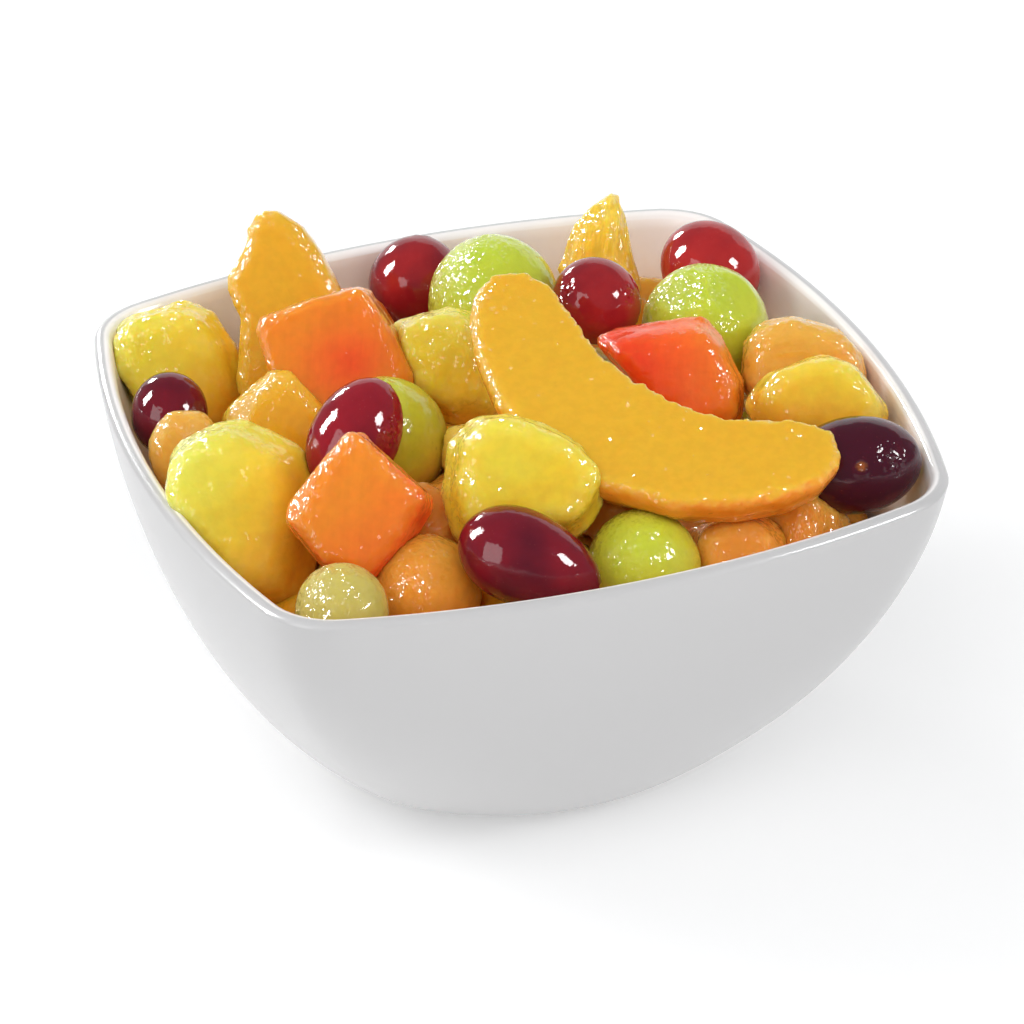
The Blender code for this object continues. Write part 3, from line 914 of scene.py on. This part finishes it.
def chunk_centres(tree):
    """Places for chunks just under the mixture's top, on a grid that is a little uneven."""
    centres = []
    down = Vector((0.0, 0.0, -1.0))
    steps = int(CHUNK_FIELD / CHUNK_SPACING)
    for row in range(-steps, steps + 1):
        for column in range(-steps, steps + 1):
            place = np.array((column + 0.5 * (row % 2), row, 0.0)) * CHUNK_SPACING
            place[0] += CHUNK_SHIFT * lattice_noise(place[None] * 0.37 + 0.5, 3)[0]
            place[1] += CHUNK_SHIFT * lattice_noise(place[None] * 0.41 + 0.5, 4)[0]
            above = Vector((place[0] * MM, place[1] * MM, 0.2))
            top = tree.ray_cast(above, down)[0]
            if top is None:
                continue
            centre = np.array(top) - np.array((0.0, 0.0, CHUNK_DEPTH * MM))
            leaving = tree.ray_cast(Vector(centre), down)[1]
            inside = leaving is not None and leaving.z < 0.0
            if inside and tree.find_nearest(Vector(centre))[3] > 0.45 * CHUNK_DEPTH * MM:
                centres.append(centre)
    return centres


def packed_chunk(index, centres, tree, directions):
    """Points of a chunk that fills the room between its neighbours and the mixture's skin.

    It reaches as far along each direction as the nearest wall, and CHUNK_SQUARENESS says
    how sharply one wall takes over from the next.
    """
    centre = centres[index]
    gap = CHUNK_GAP * MM
    inverse = np.zeros(len(directions))
    for other, neighbour in enumerate(centres):
        away = neighbour - centre
        distance = np.linalg.norm(away)
        if other != index and distance < 3.0 * CHUNK_SPACING * MM:
            facing = np.clip(directions @ (away / distance), 0.0, None)
            inverse += (facing / (distance / 2.0 - gap)) ** CHUNK_SQUARENESS
    for point, direction in enumerate(directions):
        hit = tree.ray_cast(Vector(centre), Vector(direction))[3]
        reach = (hit if hit else 2.0 * CHUNK_LARGEST * MM) - gap
        inverse[point] += (1.0 / max(reach, 1.0 * MM)) ** CHUNK_SQUARENESS
    radius = np.minimum(inverse ** (-1.0 / CHUNK_SQUARENESS), CHUNK_LARGEST * MM)
    points = centre + directions * radius[:, None]
    unevenness = 0.3 * MM * (1.0 + layered_noise(points, 3.0 * MM, index))
    return points - directions * unevenness[:, None]


def make_chunks(name, chunks, faces, look):
    """One mesh of all the chunks of a kind."""
    count = len(chunks[0])
    points = np.concatenate(chunks)
    joined = np.concatenate([faces + count * index for index in range(len(chunks))])
    mesh = bpy.data.meshes.new(name)
    mesh.from_pydata(points.tolist(), [], joined.tolist())
    own = np.repeat(np.arange(len(chunks)), count) * 0.618 % 1.0
    write_tone(mesh, "tone", 0.3 + 0.4 * own + 0.1 * layered_noise(points, 5.0 * MM, 8))
    write_tone(mesh, "wet", 0.5 + 0.4 * layered_noise(points, 5.0 * MM, 9))
    write_tone(mesh, "crest", np.zeros(len(points)))
    show(name, mesh, look, ["fruit_bed"])


def make_core(material):
    """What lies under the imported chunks: soft fruit in juice, a little smaller than its solid."""
    mesh, _ = fine_skin(joined_solid("fruit_bed"), CORE_VOXEL, 10)
    points = read_points(mesh) - read_normals(mesh) * CORE_INSET
    write_points(mesh, points)
    write_tone(mesh, "tone", 0.4 + 0.3 * layered_noise(points, 9.0 * MM, 5))
    write_tone(mesh, "wet", 0.6 + 0.3 * layered_noise(points, 7.0 * MM, 6))
    write_tone(mesh, "crest", np.zeros(len(points)))
    show("fruit_bed_core", mesh, (material, "fruit_mixture"), ["fruit_bed"])


# ---- studio


def make_camera():
    """Camera at the angle of a guest who looks down into the bowl."""
    right, up, back = Vector(RIGHT), Vector(UP), Vector(NEAR)
    rolled_right = right * math.cos(CAMERA_ROLL) + up * math.sin(CAMERA_ROLL)
    rolled_up = up * math.cos(CAMERA_ROLL) - right * math.sin(CAMERA_ROLL)
    place = CAMERA_AIM + back * CAMERA_DISTANCE
    lens = bpy.data.cameras.new("camera")
    lens.lens = CAMERA_LENS
    lens.sensor_width = 36.0
    lens.clip_start = 0.01
    camera = bpy.data.objects.new("camera", lens)
    rows = zip(rolled_right, rolled_up, back, place)
    camera.matrix_world = Matrix([*rows, (0.0, 0.0, 0.0, 1.0)])
    bpy.context.scene.collection.objects.link(camera)
    bpy.context.scene.camera = camera


def make_light(name, direction, distance, width, height, matt, gloss):
    """Soft light panel that faces the bowl, with its own strengths for matt and glossy light.

    Its glossy lamp stands a little nearer, so that the two are not at the same place.
    """
    away = Vector(direction).normalized()
    for part, strength in (("matt", matt), ("gloss", gloss)):
        lamp = bpy.data.lights.new(name + "_" + part, "AREA")
        lamp.shape = "RECTANGLE"
        lamp.size = width
        lamp.size_y = height
        lamp.energy = strength * math.pi * width * height
        light = bpy.data.objects.new(name + "_" + part, lamp)
        nearer = GLOSS_LAMP_NEARER if part == "gloss" else 0.0
        light.location = CAMERA_AIM + away * (distance - nearer)
        light.rotation_euler = away.to_track_quat("Z", "Y").to_euler()
        light.visible_glossy = part == "gloss"
        light.visible_diffuse = part == "matt"
        bpy.context.scene.collection.objects.link(light)


def make_studio():
    """Pale floor, even surroundings and the light panels."""
    world = bpy.data.worlds.new("studio")
    world.use_nodes = True
    background = world.node_tree.nodes["Background"]
    background.inputs["Color"].default_value = (0.95, 0.97, 1.0, 1.0)
    background.inputs["Strength"].default_value = 0.32
    bpy.context.scene.world = world
    bpy.context.scene.view_settings.view_transform = "Standard"
    half = 8.0
    corners = [(-half, -half, 0.0), (half, -half, 0.0), (half, half, 0.0), (-half, half, 0.0)]
    mesh = bpy.data.meshes.new("floor")
    mesh.from_pydata(corners, [], [(0, 1, 2, 3)])
    paint = Paint("pale_floor")
    paint.set(Base_Color=(0.70, 0.70, 0.70, 1.0), Roughness=0.9)
    paint.set(Emission_Color=(1.0, 1.0, 1.0, 1.0), Emission_Strength=0.31)
    mesh.materials.append(paint.material)
    floor = bpy.data.objects.new("floor", mesh)
    bpy.context.scene.collection.objects.link(floor)
    make_light("rim_light", (-0.20, 0.92, 0.34), 1.3, 0.24, 0.26, matt=10.0, gloss=40.0)
    make_light("key_light", (-0.74, 0.41, 0.52), 1.2, 0.30, 0.56, matt=6.0, gloss=55.0)
    make_light("front_panel", (-0.82, -0.43, 0.35), 1.2, 0.60, 0.85, matt=0.1, gloss=3.5)
    make_light("right_light", (0.62, -0.57, 0.51), 1.2, 0.34, 0.34, matt=7.0, gloss=28.0)
    make_light("back_panel", (0.42, 0.85, 0.30), 1.7, 3.2, 1.1, matt=0.7, gloss=0.8)
    make_light("fill", (-0.20, -0.68, 0.72), 1.5, 1.7, 1.5, matt=1.75, gloss=0.0)
    make_light("top_panel", (-0.45, 0.15, 0.88), 1.4, 1.2, 1.2, matt=0.8, gloss=0.0)


# ---- the whole salad


def fruit_search():
    """Search tree over all the fruit's solids."""
    whole = bmesh.new()
    for name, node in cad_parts.items():
        if name != "bowl":
            whole.from_mesh(node.data)
    tree = BVHTree.FromBMesh(whole)
    whole.free()
    return tree


def add_grapes():
    """Dark grapes in front and redder ones at the back."""
    dark = grape_skin("grape_dark", (0.055, 0.002, 0.012), (0.32, 0.009, 0.020))
    red = grape_skin("grape_red", (0.18, 0.005, 0.014), (0.60, 0.030, 0.026))
    key_side, right_side = heading(-0.75, 0.25, 0.6), heading(0.75, 0.1, 0.65)
    make_grape("grape_front", dark, flush=0.42)
    make_grape("grape_centre", dark, flush=0.62, damp=[(heading(0.8, 0.0, 0.6), 0.90)])
    make_grape("grape_left", dark)
    make_grape("grape_right", dark, heading(0.05, -0.02, 1.0), flush=0.10,
               damp=[(heading(0.62, 0.15, 0.75), 0.93)], fineness=6)
    make_grape("grape_back_left", red, flush=0.20)
    make_grape("grape_back_centre", red, flush=0.32, damp=[(key_side, 0.93), (right_side, 0.95)])
    make_grape("grape_back_right", red, flush=0.52)


def add_melon(green, pale, orange):
    """Balls and small pieces of green melon."""
    scoops = [(heading(0.45, 0.50, 0.72), 0.90), (heading(-0.40, 0.62, 0.68), 0.91)]
    make_ball("melon_ball_front", green, shade=0.18, damp=1.2)
    make_ball("melon_ball_pale", pale, damp=0.9)
    make_ball("melon_ball_centre", green, shade=0.25, damp=0.45)
    make_ball("melon_ball_back", green, damp=1.0)
    make_ball("melon_ball_right", green, scoops, damp=0.95)
    # Painted shade: the shaded chip takes orange melon flesh at its lowest tone, and the centre
    # chip the golden low tone of green melon.
    make_cut("melon_chip_shaded", (orange[0], "green_melon"), lumpy(0.4), even_tone(0.0))
    make_cut("melon_chip_centre", green, lumpy(0.4), even_tone(0.0))


def add_cantaloupe(orange):
    """Ball and cut pieces of orange melon."""
    make_ball("cantaloupe_ball_front", orange, shade=0.15, damp=0.85)
    make_cut("cantaloupe_cube_back", orange,
             fibrous(heading(1, 0.1), 0.3, 0.25, 1.2),
             slope_tone(heading(-0.2, 1.0), 0.75),
             softening=30, swell=0.9, widen=0.12, damp=(0.25, 0.7, 0.4))
    for node in ("cantaloupe_chunk_right", "cantaloupe_chip_right"):
        make_cut(node, orange,
                 fibrous(heading(0.2, 1.0), 0.6, 0.2), even_tone(0.5),
                 softening=12, swell=0.9, damp=(0.5, 0.6, 0.5))
    make_cut("cantaloupe_chip_left", orange,
             lumpy(0.4), slope_tone(heading(-0.5, 1.0), 0.8),
             softening=5, swell=0.4, widen=0.35, pulls=[(heading(0.5, 0.9), 2.5, 0.3)],
             damp=(0.2, 1.0, 0.4))
    make_cut("cantaloupe_chip_front", orange, lumpy(0.4), even_tone(0.1))


def add_papaya(papaya):
    """Cubes of papaya with crisp edges, redder in the middle of the left wedge and on sides in
    painted shade.
    """
    # The front cube is painted lighter towards its upper left, where the light falls, and its sides
    # turned from the front are painted redder shade.
    painted_light_to_upper_left = slope_tone(heading(-0.6, 0.8), 0.80, 8.0)
    make_cut("papaya_cube_front", papaya,
             lumpy(0.25), mixed_tone(painted_light_to_upper_left, facing_shade_tone(NEAR, 0.5, 0.9)),
             softening=7, swell=0.5, ragged=0.6, widen=0.06,
             knives=[(heading(-0.3, 0.2, 1.0), 0.5), (KEY_GLINT, 1.0)],
             damp=(0.12, 1.2, 0.2), splashed=[(heading(-0.85, 0.5), 0.72)])
    make_cut("papaya_wedge_left", papaya,
             lumpy(0.35, 0.05), heart_tone(3.0, 0.5, -5.0, 15.0),
             softening=9, swell=0.6, ragged=0.6, widen=0.05, knives=[(NEAR, 0.6)],
             damp=(0.12, 1.0, 0.2),
             splashed=[(heading(-0.9, 0.45), 0.80), (heading(0.1, 1.0), 0.92)])
    make_cut("papaya_wedge_right", papaya,
             lumpy(0.5, 0.05), slope_tone(heading(1.0, 0.1), 0.36, 11.0),
             softening=7, swell=0.1, ragged=0.5, widen=0.18,
             damp=(0.12, 0.9, 0.3), splashed=[(heading(-1.0, 0.2), 0.85)])
    make_cut("papaya_chip_back", papaya, lumpy(0.4), even_tone(0.6))


def add_pineapple(pineapple):
    """Knobbly pieces of pineapple."""
    make_cut("pineapple_front", pineapple,
             fibrous(heading(0.25, 1.0), 0.45, 0.0, size=5.0),
             slope_tone(heading(-0.25, 1.0), 0.60, 14.0),
             softening=12, swell=0.6, widen=0.12,
             damp=(0.15, 0.8, 0.4), splashed=[(heading(-1.0, 0.1), 0.75)])
    make_cut("pineapple_centre", pineapple,
             fibrous(heading(0.4, 1.0), 0.65, 0.1, size=4.5),
             slope_tone(heading(0.1, 1.0), 0.6, 13.0),
             softening=14, swell=0.6, ragged=0.6, widen=0.08,
             damp=(0.45, 0.8, 0.5), splashed=[(heading(-0.8, 0.6), 0.6)])
    make_cut("pineapple_left", pineapple,
             fibrous(heading(0.05, 1.0), 0.25, 0.30, 2.4, 16.0),
             slope_tone(heading(-1.0, 0.7), 0.55, 14.0),
             softening=14, swell=0.6, ragged=0.6, widen=0.14,
             pulls=[(heading(0.45, -0.9), 7.0, 0.4)],
             damp=(0.15, 0.9, 0.4), splashed=[(heading(-0.75, 0.65), 0.65)])
    make_cut("pineapple_right", pineapple,
             lumpy(0.35), slope_tone(heading(0.2, 1.0), 0.28),
             softening=16, swell=0.4, widen=0.15,
             damp=(0.12, 0.7, 0.3), splashed=[(heading(0.6, 0.8), 0.85)])


def add_mango(mango):
    """Slippery pieces of mango with soft ridges."""
    make_cut("mango_left", mango,
             fibrous(heading(0.3, 1.0), 0.55, 0.0, size=9.0),
             slope_tone(heading(-0.9, 0.6), 0.52, 13.0),
             softening=28, swell=0.9, ragged=0.4, widen=0.12, knives=[(KEY_GLINT, 0.5)],
             damp=(0.10, 0.8, 0.3), splashed=[(heading(-0.5, 0.85), 0.82)])
    make_cut("mango_chip_right", mango, lumpy(0.4), even_tone(0.3))


def add_peach(peach, mandarin):
    """Slices of peach, with a smooth cut face and a darker skin side that is partly painted shade,
    and a mandarin slice.
    """
    make_cut("peach_slice_long", peach,
             lumpy(0.15, 0.04), facing_shade_tone(heading(-0.35, 0.75, 0.55), -0.08, 0.80),
             softening=16, ragged=0.7, widen=0.0, damp=(0.12, 0.55, 0.15),
             splashed=[(heading(1.0, 0.1), 0.93), (heading(-1.0, 0.2), 0.90)])
    make_cut("peach_slice_tall", peach,
             lumpy(0.35, 0.05), slope_tone(heading(-0.9, 0.5), 0.95, 16.0),
             softening=6, swell=0.1, ragged=0.8, widen=0.16,
             damp=(0.06, 1.0, 0.2), splashed=[(heading(-0.8, -0.6), 0.70)])
    make_cut("peach_chunk_left", peach,
             lumpy(0.5), slope_tone(heading(-0.6, 0.6), 0.75),
             softening=16, swell=0.9, ragged=0.8, widen=0.15,
             knives=[(KEY_GLINT, 1.0)], pulls=[(heading(0.75, -0.65), 7.0, 0.35)],
             damp=(0.10, 1.1, 0.2), splashed=[(heading(-0.6, 0.8), 0.72)])
    make_cut("mandarin_slice_back", mandarin,
             fibrous(heading(0.15, 1.0), 0.35, 0.22, 1.5, 7.0),
             slope_tone(heading(0.3, 1.0), 0.7, 14.0),
             softening=4, swell=-0.2, damp=(0.45, 0.9, 0.5))
    make_cut("peach_chip_back", peach, lumpy(0.4), even_tone(0.7))


def main():
    """The bowl, the fruit on top, the mixture under it, and the studio round it all."""
    make_bowl(fruit_search())
    add_grapes()
    green = green_melon_flesh()
    pale = pale_melon_flesh()
    orange = orange_melon_flesh()
    papaya = papaya_flesh()
    pineapple = pineapple_flesh()
    mango = mango_flesh()
    peach = peach_flesh()
    mandarin = mandarin_flesh()
    add_melon(green, pale, orange)
    add_cantaloupe(orange)
    add_papaya(papaya)
    add_pineapple(pineapple)
    add_mango(mango)
    add_peach(peach, mandarin)
    make_mixture({"green_melon": pale, "orange_melon": orange, "peach": peach,
                  "pineapple": pineapple})
    make_core(orange[0])
    make_camera()
    make_studio()


main()
